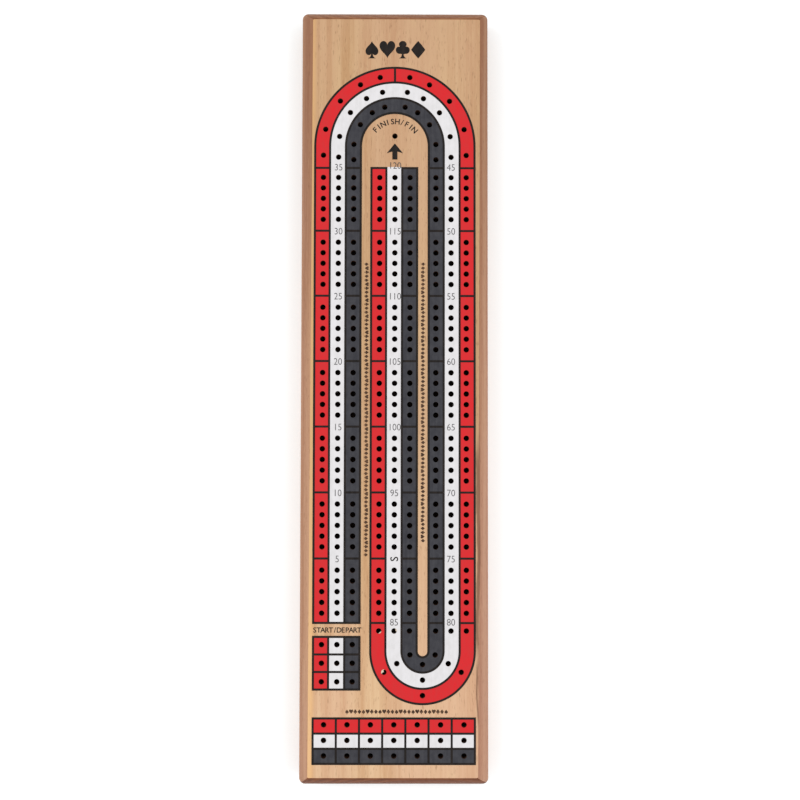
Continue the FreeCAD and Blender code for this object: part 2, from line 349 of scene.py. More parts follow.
def outline_fields():
    """The black lines' outer outlines. The track's one is bent back on itself round the white lane."""
    half = LINE_WIDTH / 2
    far = LANE_END_Y + half
    white_outer, white_inner = lane_limits("white")
    track = lane_edge(LANE_EDGES[0] + half, -far, far)
    track += lane_edge(white_outer, -far + LINE_WIDTH, far)[::-1]
    track += lane_edge(white_inner, -far + LINE_WIDTH, far)
    track += lane_edge(LANE_EDGES[3] - half, -far, far)[::-1]
    start_low = START_TOP_Y - START_ROWS * START_ROW - half
    start = rectangle(-LANE_EDGES[0] - half, start_low, -LANE_EDGES[3] + half, START_TOP_Y + half)
    games_half = GAMES_COLUMNS / 2 * GAMES_COLUMN + half
    games_low = GAMES_TOP_Y - len(COLOURS) * GAMES_ROW - half
    games = rectangle(-games_half, games_low, games_half, GAMES_TOP_Y + half)
    return [track, start, games]


# ======== meshes ========

def fill(loops):
    """Triangles of the area inside the loops, where a loop within a loop is an opening."""
    points = []
    faces = []
    for loop in loops:
        first = len(points)
        points += [Vector(point) for point in loop]
        faces.append(list(range(first, len(points))))
    without_openings = 2
    filled = delaunay_2d_cdt(points, [], faces, without_openings, 1e-7)
    return filled[0], filled[2]


def ring(loop, z):
    return [Vector((x, y, z)) for x, y in loop]


def add_wall(bm, lower, upper, material=0):
    """Quads between two closed rings of as many points. A ring of one point closes it to a tip."""
    low = [bm.verts.new(point) for point in lower]
    high = [bm.verts.new(point) for point in upper]
    faces = []
    for i in range(len(low)):
        j = (i + 1) % len(low)
        corners = [low[i], low[j]] + ([high[0]] if len(high) == 1 else [high[j], high[i]])
        faces.append(bm.faces.new(corners))
    for face in faces:
        face.material_index = material
    return faces


def add_flat(bm, loops, z, material=0):
    points, triangles = fill(loops)
    corners = [bm.verts.new((point.x, point.y, z)) for point in points]
    for triangle in triangles:
        face = bm.faces.new([corners[i] for i in triangle])
        face.material_index = material


def add_film(bm, loops, low, high):
    """A closed flat film between two heights."""
    add_flat(bm, loops, low)
    add_flat(bm, loops, high)
    for loop in loops:
        add_wall(bm, ring(loop, low), ring(loop, high))


def is_level(face):
    return abs(face.normal.z) > 0.99999


def make_piece(name, bm, materials, body, replaced=(), smooth=None):
    """Closes the bmesh up, makes it an object and gives it to a CAD body."""
    weld = 2e-7
    bmesh.ops.remove_doubles(bm, verts=bm.verts, dist=weld)
    bmesh.ops.recalc_face_normals(bm, faces=bm.faces)
    for face in bm.faces:
        face.smooth = smooth is not None and not is_level(face)
    for edge in bm.edges:
        edge.smooth = len({is_level(face) for face in edge.link_faces}) < 2
    mesh = bpy.data.meshes.new(name)
    bm.to_mesh(mesh)
    bm.free()
    if smooth is not None:
        mesh.set_sharp_from_angle(angle=math.radians(smooth))
    for material in materials:
        mesh.materials.append(material)
    piece = bpy.data.objects.new(name, mesh)
    bpy.context.scene.collection.objects.link(piece)
    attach(piece, body)
    if replaced:
        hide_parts(*replaced)
    return piece


# ======== materials ========

def tone(red, green, blue):
    """A colour given as 0 to 255 on screen, as linear light."""
    channels = []
    for value in (red, green, blue):
        share = value / 255
        channels.append(share / 12.92 if share <= 0.04045 else ((share + 0.055) / 1.055) ** 2.4)
    return (*channels, 1.0)


class Graph:
    """A material's node tree. Its patterns lie in the object's own space, in metres."""

    def __init__(self, name):
        self.material = bpy.data.materials.new(name)
        self.material.use_nodes = True
        self.tree = self.material.node_tree
        self.shader = next(n for n in self.tree.nodes if n.type == "BSDF_PRINCIPLED")
        self.place = self.add("ShaderNodeTexCoord").outputs["Object"]

    def add(self, kind):
        return self.tree.nodes.new(kind)

    def link(self, source, socket):
        """Links an output to a socket, or sets the socket to a plain value."""
        if isinstance(source, bpy.types.NodeSocket):
            self.tree.links.new(source, socket)
        else:
            socket.default_value = source

    def math(self, operation, first, second=0.0, third=0.0):
        node = self.add("ShaderNodeMath")
        node.operation = operation
        for socket, value in zip(node.inputs, (first, second, third)):
            self.link(value, socket)
        return node.outputs[0]

    def axis(self, index):
        """The distance along X, Y or Z."""
        node = self.add("ShaderNodeSeparateXYZ")
        self.link(self.place, node.inputs[0])
        return node.outputs[index]

    def noise(self, scale, detail=3.0, roughness=0.5, distortion=0.0, shift=(0.0, 0.0, 0.0)):
        """Noise from 0 to 1, with its own scale along each axis, per metre."""
        mapping = self.add("ShaderNodeMapping")
        mapping.inputs["Scale"].default_value = scale
        mapping.inputs["Location"].default_value = shift
        self.link(self.place, mapping.inputs["Vector"])
        node = self.add("ShaderNodeTexNoise")
        self.link(mapping.outputs[0], node.inputs["Vector"])
        node.inputs["Scale"].default_value = 1.0
        node.inputs["Detail"].default_value = detail
        node.inputs["Roughness"].default_value = roughness
        node.inputs["Distortion"].default_value = distortion
        return node.outputs[0]

    def between(self, value, low, high, to_low=0.0, to_high=1.0):
        """The value's place between low and high, softened at both ends and kept within them."""
        node = self.add("ShaderNodeMapRange")
        node.interpolation_type = "SMOOTHSTEP"
        for name, number in (("Value", value), ("From Min", low), ("From Max", high)):
            self.link(number, node.inputs[name])
        node.inputs["To Min"].default_value = to_low
        node.inputs["To Max"].default_value = to_high
        return node.outputs[0]

    def mix(self, share, first, second, blend="MIX"):
        node = self.add("ShaderNodeMix")
        node.data_type = "RGBA"
        node.blend_type = blend
        self.link(share, node.inputs["Factor"])
        self.link(first, node.inputs[6])
        self.link(second, node.inputs[7])
        return node.outputs[2]

    def bump(self, height, distance, strength=1.0, under=None):
        node = self.add("ShaderNodeBump")
        node.inputs["Strength"].default_value = strength
        node.inputs["Distance"].default_value = distance
        self.link(height, node.inputs["Height"])
        if under is not None:
            self.link(under, node.inputs["Normal"])
        return node.outputs[0]

    def finish(self, colour, roughness, normal=None, **constants):
        self.link(colour, self.shader.inputs["Base Color"])
        self.link(roughness, self.shader.inputs["Roughness"])
        if normal is not None:
            self.link(normal, self.shader.inputs["Normal"])
        for name, value in constants.items():
            self.shader.inputs[name.replace("_", " ")].default_value = value
        return self.material


def ring_tone(graph):
    """Growth rings round a pith far below the board: bands on the face, arcs on the end grain."""
    pith_x, pith_z = 0.018, -0.075
    spacing = 0.0034
    sway = graph.math("MULTIPLY_ADD", graph.noise((14.0, 2.2, 14.0), detail=2.0), 0.010, -0.005)
    ripple = graph.math("MULTIPLY_ADD", graph.noise((160.0, 9.0, 160.0), detail=2.0), 0.0016, -0.0008)
    across = graph.math("ADD", graph.math("ADD", graph.axis(0), -pith_x), sway)
    above = graph.math("ADD", graph.axis(2), -pith_z)
    square = graph.math("ADD", graph.math("MULTIPLY", across, across), graph.math("MULTIPLY", above, above))
    distance = graph.math("ADD", graph.math("SQRT", square), ripple)
    turn = graph.math("MULTIPLY", distance, 2 * math.pi / spacing)
    return graph.math("MULTIPLY_ADD", graph.math("SINE", turn), 0.5, 0.5)


def wood(name, light, dark, rosy, shade, ring_share, flecks, roughness, end_grain=False, worn=None):
    """Fine-grained light hardwood, its grain along Y. The shade, a painted light falloff, runs from one
    height along Y to another.
    """
    graph = Graph(name)
    along = 900.0 if end_grain else 16.0
    fibre = graph.noise((750.0, along, 750.0), detail=4.0, roughness=0.6)
    fine = graph.noise((2600.0, 4.0 * along, 2600.0), detail=2.0)
    patches = graph.noise((30.0, 7.0, 30.0), detail=2.0)
    rays = graph.noise((1100.0, 9.0 * along, 1100.0), detail=1.0)
    rings = ring_tone(graph)
    grain = graph.math("MULTIPLY_ADD", rings, ring_share, graph.math("MULTIPLY", fibre, 0.75))
    grain = graph.math("MULTIPLY_ADD", fine, 0.22, grain)
    share = graph.between(grain, 0.30, 0.30 + 0.75 * ring_share + 0.5)
    colour = graph.mix(share, light, dark)
    colour = graph.mix(graph.between(patches, 0.35, 0.68, 0.0, 0.45), colour, rosy)
    colour = graph.mix(graph.between(rays, 0.56, 0.70, 0.0, 0.30), colour, light)
    fleck_along = 1500.0 if end_grain else 330.0
    fleck = graph.noise((2500.0, fleck_along, 2500.0), detail=1.0)
    fleck = graph.between(fleck, 0.60, 0.76, 0.0, flecks)
    colour = graph.mix(fleck, colour, tone(124, 80, 50))
    if worn == "face":
        amber = graph.between(graph.axis(0), -0.0365, -0.0390, 0.0, 0.70)
        colour = graph.mix(amber, colour, tone(242, 192, 134))
    low_y, high_y, low_tint, high_tint = shade
    # Painted shade: this tint multiplies the wood darker along Y, standing in for light that falls off
    # along the board.
    painted_falloff = graph.mix(graph.between(graph.axis(1), low_y, high_y), (*low_tint, 1.0), (*high_tint, 1.0))
    colour = graph.mix(1.0, colour, painted_falloff, "MULTIPLY")
    if worn:
        colour = rubbed_rim(graph, colour)
    relief = graph.math("MULTIPLY_ADD", fleck, -0.8, fibre)
    normal = graph.bump(relief, 0.00006, 0.35)
    gloss = graph.between(fibre, 0.3, 0.7, *roughness)
    return graph.finish(colour, gloss, normal, Specular_IOR_Level=0.3)


def rubbed_rim(graph, colour):
    """A ragged dark streak down the lower half of the right rim, where the lacquer is rubbed through."""
    wander = graph.noise((300.0, 60.0, 300.0), detail=3.0)
    ragged = graph.math("MULTIPLY_ADD", wander, 0.0024, graph.axis(0))
    inner = graph.between(ragged, 0.0393, 0.0400)
    narrowing = graph.between(graph.axis(1), -0.070, -0.145, 0.0, 0.0010)
    outer = graph.between(graph.math("ADD", ragged, narrowing), 0.0419, 0.0411)
    broken = graph.between(graph.noise((90.0, 30.0, 90.0), detail=2.0), 0.25, 0.42)
    upper = graph.between(graph.axis(1), -0.012, -0.036)
    lower = graph.between(graph.axis(1), -0.158, -0.148)
    width = graph.math("MULTIPLY", inner, outer)
    length = graph.math("MULTIPLY", graph.math("MULTIPLY", upper, lower), broken)
    share = graph.math("MULTIPLY", graph.math("MULTIPLY", width, length), 0.80)
    return graph.mix(share, colour, tone(120, 78, 52))


def ink(name, colour, worn, roughness=(0.38, 0.50)):
    """Screen-printed ink over the lacquered wood: a slight mottle, and the grain felt through it."""
    graph = Graph(name)
    mottle = graph.noise((420.0, 260.0, 420.0), detail=4.0, roughness=0.65)
    fibre = graph.noise((750.0, 16.0, 750.0), detail=4.0, roughness=0.6)
    speck = graph.noise((1900.0, 900.0, 1900.0), detail=2.0)
    share = graph.math("MULTIPLY_ADD", mottle, 0.6, graph.math("MULTIPLY", fibre, 0.4))
    shade = graph.mix(graph.between(share, 0.36, 0.66), colour, worn)
    dusting = graph.between(speck, 0.68, 0.80, 0.0, 0.35)
    shade = graph.mix(dusting, shade, worn)
    normal = graph.bump(graph.math("ADD", fibre, graph.math("MULTIPLY", speck, 0.3)), 0.00004, 0.3)
    gloss = graph.between(mottle, 0.3, 0.7, *roughness)
    return graph.finish(shade, gloss, normal, Specular_IOR_Level=0.2)


def steel():
    """Rolled sheet steel, brushed along Y."""
    graph = Graph("brushed_steel_sheet")
    brushing = graph.noise((5200.0, 22.0, 900.0), detail=4.0, roughness=0.7)
    stain = graph.noise((60.0, 40.0, 60.0), detail=3.0)
    scratch = graph.between(graph.noise((1400.0, 9.0, 600.0), detail=1.0), 0.66, 0.74)
    colour = graph.mix(graph.between(brushing, 0.3, 0.7), tone(186, 187, 190), tone(208, 208, 210))
    colour = graph.mix(graph.between(stain, 0.4, 0.7, 0.0, 0.35), colour, tone(172, 170, 166))
    colour = graph.mix(graph.math("MULTIPLY", scratch, 0.35), colour, tone(226, 226, 228))
    gloss = graph.math("MULTIPLY_ADD", brushing, 0.22, graph.between(stain, 0.3, 0.7, 0.20, 0.28))
    normal = graph.bump(graph.math("ADD", brushing, scratch), 0.00001, 0.5)
    return graph.finish(colour, gloss, normal, Metallic=1.0)


def moulded(name, colour, shadow):
    """Glossy moulded plastic with faint flow marks."""
    graph = Graph(name)
    flow = graph.noise((240.0, 70.0, 240.0), detail=2.0, distortion=0.6)
    dust = graph.noise((3200.0, 3200.0, 3200.0), detail=1.0)
    shade = graph.mix(graph.between(flow, 0.35, 0.7), colour, shadow)
    shade = graph.mix(graph.between(dust, 0.70, 0.80, 0.0, 0.25), shade, shadow)
    gloss = graph.math("MULTIPLY_ADD", dust, 0.10, graph.between(flow, 0.3, 0.7, 0.16, 0.24))
    normal = graph.bump(flow, 0.00004, 0.3)
    return graph.finish(shade, gloss, normal)


def floor_paper():
    graph = Graph("backdrop_paper")
    tooth = graph.noise((900.0, 900.0, 900.0), detail=2.0)
    shade = graph.mix(tooth, (0.925, 0.95, 0.955, 1.0), (0.945, 0.97, 0.975, 1.0))
    graph.link(shade, graph.shader.inputs["Emission Color"])
    return graph.finish(shade, 0.9, Specular_IOR_Level=0.1, Emission_Strength=0.22)


SATIN = (0.40, 0.52)
SANDED = (0.50, 0.65)
RAW = (0.65, 0.85)
# Heights along Y, and the painted shade at them: a painted light falloff along the board, which darkens and
# warms the face and long edges towards the top bend and the end grain towards the foot.
FACE_SHADE = (-0.19, 0.03, (0.99, 0.99, 0.98), (0.81, 0.785, 0.71))
EDGE_SHADE = (-0.06, 0.19, (0.90, 0.88, 0.85), (0.62, 0.53, 0.42))
END_SHADE = (-0.19, 0.19, (0.61, 0.45, 0.28), (0.88, 0.88, 0.80))
EVEN_SHADE = (-0.19, 0.19, (1.0, 1.0, 1.0), (0.94, 0.93, 0.90))
WOOD_LIGHT = tone(231, 195, 154)
WOOD_DARK = tone(204, 157, 113)
WOOD_ROSY = tone(222, 174, 148)
FACE_WOOD = wood("face_wood", WOOD_LIGHT, WOOD_DARK, WOOD_ROSY, FACE_SHADE, 0.25, 0.38, SATIN, worn="face")
# The long edges and end grain are darker than the face, partly in their own sanded and end-grain tone and
# partly by painted shade for faces turned away from the light.
EDGE_TONES_AND_SHADE = (tone(206, 160, 128), tone(172, 120, 88), tone(190, 140, 120))
EDGE_WOOD = wood("long_edge_wood", *EDGE_TONES_AND_SHADE, EDGE_SHADE, 0.35, 0.4, SANDED, worn="edge")
END_TONES_AND_SHADE = (tone(166, 108, 66), tone(130, 77, 42), tone(146, 90, 58))
END_WOOD = wood("end_grain_wood", *END_TONES_AND_SHADE, END_SHADE, 0.7, 0.6, SANDED, end_grain=True)
# Painted shade: the bores' walls are coloured nearly black-brown, standing in for the shade deep inside the
# narrow holes.
BORE_SHADE_TONES = (tone(88, 58, 38), tone(56, 36, 24), tone(70, 46, 30))
HOLE_SHADE_WOOD = wood("bored_wood_painted_shade", *BORE_SHADE_TONES, EVEN_SHADE, 0.3, 0.5, RAW)
UNDERSIDE_TONES = (tone(226, 188, 148), tone(196, 152, 110), WOOD_ROSY)
UNDERSIDE_WOOD = wood("underside_wood", *UNDERSIDE_TONES, EVEN_SHADE, 0.35, 0.5, SANDED)
ROUTED_TONES = (tone(214, 172, 130), tone(180, 136, 96), WOOD_ROSY)
ROUTED_WOOD = wood("routed_wood", *ROUTED_TONES, EVEN_SHADE, 0.35, 0.6, RAW)
BURR_TONES = (tone(242, 228, 208), tone(226, 204, 176), tone(236, 216, 196))
BURR_WOOD = wood("torn_wood", *BURR_TONES, EVEN_SHADE, 0.2, 0.2, RAW)
RED_INK = ink("red_ink_film", tone(219, 36, 42), tone(209, 44, 47))
WHITE_INK = ink("white_ink_film", tone(231, 229, 231), tone(221, 219, 220))
DARK_INK = ink("dark_grey_ink_film", tone(53, 53, 59), tone(66, 66, 71))
BLACK_INK = ink("black_ink_film", tone(20, 16, 14), tone(38, 30, 26))
STRIP_INK = ink("strip_ink_film", tone(62, 42, 30), tone(96, 68, 48))
NUMBER_INK = ink("number_ink_film", tone(60, 58, 60), tone(100, 98, 98))
STEEL = steel()
PEG_PLASTIC = {
    "red": moulded("red_peg_plastic", tone(206, 30, 38), tone(186, 24, 32)),
    "white": moulded("white_peg_plastic", tone(240, 240, 237), tone(226, 225, 220)),
    "dark": moulded("dark_peg_plastic", tone(44, 44, 48), tone(34, 34, 38)),
}
BOARD_MATERIALS = (FACE_WOOD, EDGE_WOOD, END_WOOD, HOLE_SHADE_WOOD, UNDERSIDE_WOOD, ROUTED_WOOD)


# ======== the board ========

def edge_profile():
    """Inset, height and corner radius of the rings round the board, from the underside to the top face."""
    profile = []
    for step in range(ARRIS_STEPS + 1):
        angle = math.radians(90 * step / ARRIS_STEPS)
        inset = ARRIS_RADIUS * (1 - math.sin(angle))
        profile.append((inset, ARRIS_RADIUS * (1 - math.cos(angle)), CORNER_RADIUS - inset))
    slope = math.hypot(CHAMFER_WIDTH, CHAMFER_DROP)
    shoulder_z = TOP_Z - CHAMFER_DROP
    for step in range(CHAMFER_STEPS + 1):
        share = (1 - RIM_ROUND / slope) * step / CHAMFER_STEPS
        crown = CHAMFER_CROWN * math.sin(math.pi * share)
        inset = CHAMFER_WIDTH * share - crown * CHAMFER_DROP / slope
        z = shoulder_z + CHAMFER_DROP * share + crown * CHAMFER_WIDTH / slope
        profile.append((inset, z, CORNER_RADIUS + (RIM_CORNER_RADIUS - CORNER_RADIUS) * share))
    profile.append((CHAMFER_WIDTH + RIM_ROUND, TOP_Z, RIM_CORNER_RADIUS))
    return profile


def askew(x, y, share):
    """Moves a point of the rim by its share of the chamfers' error."""
    along = y / (BOARD_LENGTH / 2)
    return x + share * (RIM_SHIFT + RIM_LEAN * along), y - share * RIM_DROP * (1 - along) / 2


def add_edges(bm):
    """The board's four sides, with the chamfer. Returns the underside's and the top face's outlines."""
    loops = []
    for inset, z, radius in edge_profile():
        loop = rounded_rectangle(BOARD_WIDTH - 2 * inset, BOARD_LENGTH - 2 * inset, radius)
        share = max(0.0, z - TOP_Z + CHAMFER_DROP) / CHAMFER_DROP
        loops.append(([askew(x, y, share) for x, y in loop], z))
    for (lower, low_z), (upper, high_z) in zip(loops, loops[1:]):
        for face in add_wall(bm, ring(lower, low_z), ring(upper, high_z), 1):
            face.normal_update()
            if abs(face.normal.y) > abs(face.normal.x):
                face.material_index = 2
    return loops[0][0], loops[-1][0]


def add_bore(bm, centre):
    """A blind peg hole with the drill's shallow point."""
    loop = circle(centre, HOLE_RADIUS)
    shoulder_z = TOP_Z - HOLE_DEPTH + DRILL_POINT
    add_wall(bm, ring(loop, TOP_Z), ring(loop, shoulder_z), 3)
    add_wall(bm, ring(loop, shoulder_z), [Vector((*centre, TOP_Z - HOLE_DEPTH))], 3)


def add_hollow(bm):
    """The routed pocket and its grooved trough. Returns the trough's outline in the underside."""
    travel = POCKET_LENGTH + COVER_LAP
    low_y = -POCKET_LENGTH / 2 - COVER_LAP - COVER_SIDE_GAP
    high_y = POCKET_LENGTH / 2 + COVER_LAP + travel + COVER_SIDE_GAP
    middle_y = (low_y + high_y) / 2
    undercut = GROOVE_WIDTH - TROUGH_WIDTH
    length = high_y - low_y
    trough = rounded_rectangle(TROUGH_WIDTH, length - undercut, TROUGH_RADIUS - undercut / 2, middle_y)
    groove = rounded_rectangle(GROOVE_WIDTH, length, TROUGH_RADIUS, middle_y)
    pocket = rounded_rectangle(POCKET_WIDTH, POCKET_LENGTH, POCKET_RADIUS)
    add_wall(bm, ring(trough, 0.0), ring(trough, GROOVE_LOW_Z), 5)
    add_wall(bm, ring(trough, GROOVE_LOW_Z), ring(groove, GROOVE_LOW_Z), 5)
    add_wall(bm, ring(groove, GROOVE_LOW_Z), ring(groove, GROOVE_HIGH_Z), 5)
    add_flat(bm, [groove, pocket], GROOVE_HIGH_Z, 5)
    add_wall(bm, ring(pocket, GROOVE_HIGH_Z), ring(pocket, POCKET_TOP_Z), 5)
    add_flat(bm, [pocket], POCKET_TOP_Z, 5)
    return trough


def build_board():
    bm = bmesh.new()
    holes = all_holes()
    underside, top = add_edges(bm)
    add_flat(bm, [top] + [circle(centre, HOLE_RADIUS) for centre in holes], TOP_Z, 0)
    for centre in holes:
        add_bore(bm, centre)
    add_flat(bm, [underside, add_hollow(bm)], 0.0, 4)
    make_piece("wooden_board", bm, BOARD_MATERIALS, "board", ["board"], smooth=32)


# ======== the print ========

def build_lane_inks():
    inks = {"red": RED_INK, "white": WHITE_INK, "dark": DARK_INK}
    for colour in COLOURS:
        bm = bmesh.new()
        holes = [circle(centre, HOLE_RADIUS) for centre in colour_holes(colour)]
        add_film(bm, lane_fields(colour) + holes, TOP_Z, COLOUR_INK_HIGH)
        node = colour + "_lane_print"
        make_piece(colour + "_lane_ink", bm, [inks[colour]], "board", [node])


def build_black_lines():
    bm = bmesh.new()
    loops = outline_fields()
    for colour in ("red", "dark"):
        loops += lane_fields(colour)
    white_boxes = lane_fields("white")[1:]
    add_film(bm, loops + white_boxes, TOP_Z, INK_HIGH)
    make_piece("black_lines", bm, [BLACK_INK], "board", ["outline_print"])


def diamond():
    """A card diamond of height 1, with slightly hollow sides."""
    half_width, half_height, hollow, steps = 0.40, 0.5, 1.9, 40
    points = []
    for step in range(steps):
        angle = 2 * math.pi * step / steps
        x = math.copysign(abs(math.cos(angle)) ** hollow, math.cos(angle))
        y = math.copysign(abs(math.sin(angle)) ** hollow, math.sin(angle))
        points.append((half_width * x, half_height * y))
    return points


def heart(first=0.0):
    """A card heart of height 1, from just right of its cleft and round to just left of it."""
    steps = 44
    points = []
    for step in range(steps + 1):
        t = first + (2 * math.pi - 2 * first) * step / steps
        x = 16 * math.sin(t) ** 3
        y = 13 * math.cos(t) - 5 * math.cos(2 * t) - 2 * math.cos(3 * t) - math.cos(4 * t)
        points.append((x / 36, (y + 2.5) / 29))
    return points if first else points[:-1]


def stem():
    """The foot of a spade or a club, from its left neck down and round to the right one."""
    left = [(-0.045, -0.26), (-0.07, -0.37), (-0.12, -0.44), (-0.21, -0.5)]
    return left + [(-x, y) for x, y in reversed(left)]


def spade():
    cleft = 0.42
    size = 0.82
    lift = 0.09
    blade = [(x * size, -y * size + lift) for x, y in heart(cleft)]
    return blade + stem()


def club():
    """Three lobes, from just right of the stem and round over the top to just left of it."""
    steps = 60
    clear = 24
    centre_y = 0.08
    points = []
    for step in range(steps + 1):
        degrees = 180 - clear - (360 - 2 * clear) * step / steps
        lobe = abs(math.cos(math.radians(1.5 * degrees))) ** 0.55
        radius = 0.13 + 0.29 * lobe
        angle = math.radians(90 - degrees)
        points.append((radius * math.cos(angle), centre_y + radius * math.sin(angle)))
    return points + stem()


SUITS = (spade(), heart(), club(), diamond())


def build_pips(name, centres, size, turn, material):
    """A row of plain card suits, one after the other."""
    bm = bmesh.new()
    for index, centre in enumerate(centres):
        add_film(bm, [placed(SUITS[index % len(SUITS)], centre, size, turn)], TOP_Z, LETTER_INK_HIGH)
    make_piece(name, bm, [material], "board")


def spaced(first, last, count):
    return [first + (last - first) * i / (count - 1) for i in range(count)]


def build_ornaments():
    head = [(x, 163.9 * MM) for x in spaced(-11.0 * MM, 11.0 * MM, 4)]
    build_pips("head_suit_pips", head, 8.4 * MM, 0, BLACK_INK)
    left = [(-13.2 * MM, y) for y in spaced(61.3 * MM, -75.4 * MM, 73)]
    build_pips("left_pip_strip", left, 2.0 * MM, -90, STRIP_INK)
    right = [(13.4 * MM, y) for y in spaced(-68.8 * MM, 61.4 * MM, 69)]
    build_pips("right_pip_strip", right, 2.0 * MM, 90, STRIP_INK)
    foot = [(x, -148.2 * MM) for x in spaced(-21.8 * MM, 24.4 * MM, 25)]
    build_pips("foot_pip_row", foot, 2.1 * MM, 0, STRIP_INK)


def build_arrow():
    """Points from the middle lane's end to the finish hole."""
    tip_y, barb_y, notch_y, base_y = 118.9 * MM, 114.2 * MM, 115.0 * MM, 111.2 * MM
    half_head, half_shaft = 3.85 * MM, 1.22 * MM
    right = [(half_head, barb_y), (half_shaft, notch_y), (half_shaft, base_y)]
    outline = [(0.0, tip_y)] + right + [(-x, y) for x, y in reversed(right)]
    bm = bmesh.new()
    add_film(bm, [outline], TOP_Z, LETTER_INK_HIGH)
    make_piece("finish_arrow", bm, [BLACK_INK], "board")


CAP_SHARE = 0.682


def add_text(bm, text, centre, cap_height, turn, low, high, weight=0.0, squeeze=1.0):
    """Adds a line of plain lettering, centred, as a film. Weight makes the strokes bolder or thinner."""
    curve = bpy.data.curves.new("lettering", "FONT")
    curve.body = text
    curve.size = cap_height / CAP_SHARE
    curve.align_x = "CENTER"
    curve.offset = weight
    curve.extrude = (high - low) / 2
    curve.resolution_u = 4
    holder = bpy.data.objects.new("lettering", curve)
    bpy.context.scene.collection.objects.link(holder)
    bpy.context.view_layer.update()
    mesh = bpy.data.meshes.new_from_object(holder.evaluated_get(bpy.context.evaluated_depsgraph_get()))
    place = Matrix.Translation((*centre, (low + high) / 2)) @ Matrix.Rotation(math.radians(turn), 4, "Z")
    squeezed = Matrix.Diagonal((squeeze, 1.0, 1.0, 1.0))
    mesh.transform(place @ squeezed @ Matrix.Translation((0, -cap_height / 2, 0)))
    bm.from_mesh(mesh)
    bpy.data.objects.remove(holder)
    bpy.data.curves.remove(curve)
    bpy.data.meshes.remove(mesh)


def build_numbers():
    """Counts along the white lane at each divider, from 5 at the start to 120 at the end."""
    bm = bmesh.new()
    end_lift = 0.35 * MM
    middle_lift = -0.2 * MM
    last_lift = 1.2 * MM
    cap_height = 3.1 * MM
    hair = -0.04 * MM
    reach = LANE_HOLES["white"]
    heights = divider_heights()
    rows = []
    for step in range(1, GROUPS + 1):
        rows.append((-reach, heights[step], 5 * step))
    for step in range(GROUPS + 1):
        rows.append((reach, heights[GROUPS - step], 45 + 5 * step))
        rows.append((2 * BOTTOM_BEND_X - reach, heights[step], 85 + 5 * step))
    for x, y, count in rows:
        if count == 90:
            continue
        lift = end_lift if y in (heights[0], heights[GROUPS]) else middle_lift
        if count == 120:
            lift = last_lift
        add_text(bm, str(count), (x, y + lift), cap_height, 0, COLOUR_INK_HIGH, INK_HIGH, hair, 0.9)
    make_piece("lane_numbers", bm, [NUMBER_INK], "board")
    bm = bmesh.new()
    mark = (2 * BOTTOM_BEND_X - reach, heights[1] + middle_lift)
    add_text(bm, "S", mark, 3.5 * MM, 90, COLOUR_INK_HIGH, INK_HIGH, 0.05 * MM)
    make_piece("skunk_line_mark", bm, [BLACK_INK], "board")


def build_words():
    """START over the start boxes, and FINISH in an arc over the finish hole, each in two languages."""
    bm = bmesh.new()
    for letter, x in zip("START/DEPART", spaced(-37.0 * MM, -16.2 * MM, 12)):
        add_text(bm, letter, (x, -110.4 * MM), 2.3 * MM, 0, TOP_Z, LETTER_INK_HIGH, 0.05 * MM)
    make_piece("start_lettering", bm, [BLACK_INK], "board")
    bm = bmesh.new()
    for letter, lean in zip("FINISH/FIN", spaced(47.5, -47.5, 10)):
        angle = math.radians(90 + lean)
        radius = 12.6 * MM
        centre = (radius * math.cos(angle), 116.8 * MM + radius * math.sin(angle))
        add_text(bm, letter, centre, 2.5 * MM, lean, TOP_Z, LETTER_INK_HIGH, 0.06 * MM)
    make_piece("finish_lettering", bm, [BLACK_INK], "board")


def build_burrs():
    """Pale torn fibres left standing in the mouths of three holes by the drill."""
    random.seed(7)
    bm = bmesh.new()
    red_x = 2 * BOTTOM_BEND_X - LANE_HOLES["red"]
    white_x = 2 * BOTTOM_BEND_X - LANE_HOLES["white"]
    torn = (
        ((red_x, BOTTOM_STRAIGHT_Y), -50, 0.45),
        ((white_x, BOTTOM_STRAIGHT_Y), 20, 0.5),
        (bottom_bend_hole("red", -1), 150, 1.0),
    )
    for centre, side, size in torn:
        add_burr(bm, centre, side, size)
    make_piece("hole_mouth_burrs", bm, [BURR_WOOD], "board", smooth=50)


def add_burr(bm, centre, side, size):
    """A thin curled flake from the hole's wall, on the side given in degrees, reaching in by its size."""
    spread = 34 + 36 * size
    steps = 8
    low = []
    high = []
    for step in range(steps + 1):
        angle = side - spread + 2 * spread * step / steps
        low.append(arc(centre, HOLE_RADIUS * 1.01, angle, angle, 1)[0])
    for step in reversed(range(1, steps)):
        angle = side - spread + 2 * spread * step / steps
        reach = 1 - size * math.sin(math.pi * step / steps) * random.uniform(0.7, 1.1)
        high.append(arc(centre, HOLE_RADIUS * reach, angle, angle, 1)[0])
    outline = low + high
    under = [Vector((x, y, TOP_Z - 0.55 * MM)) for x, y in outline]
    over = [Vector((x, y, TOP_Z - 0.15 * MM + random.uniform(-0.05, 0.05) * MM)) for x, y in outline]
    outwards = Vector((math.cos(math.radians(side)), math.sin(math.radians(side)), 0.0))
    middle = Vector((*centre, 0.0)) + outwards * HOLE_RADIUS * (1 - size / 2)
    add_wall(bm, under, over)
    add_wall(bm, over, [middle + Vector((0, 0, TOP_Z - 0.05 * MM))])
    add_wall(bm, under, [middle + Vector((0, 0, TOP_Z - 0.6 * MM))])


# ======== the cover and the pegs ========

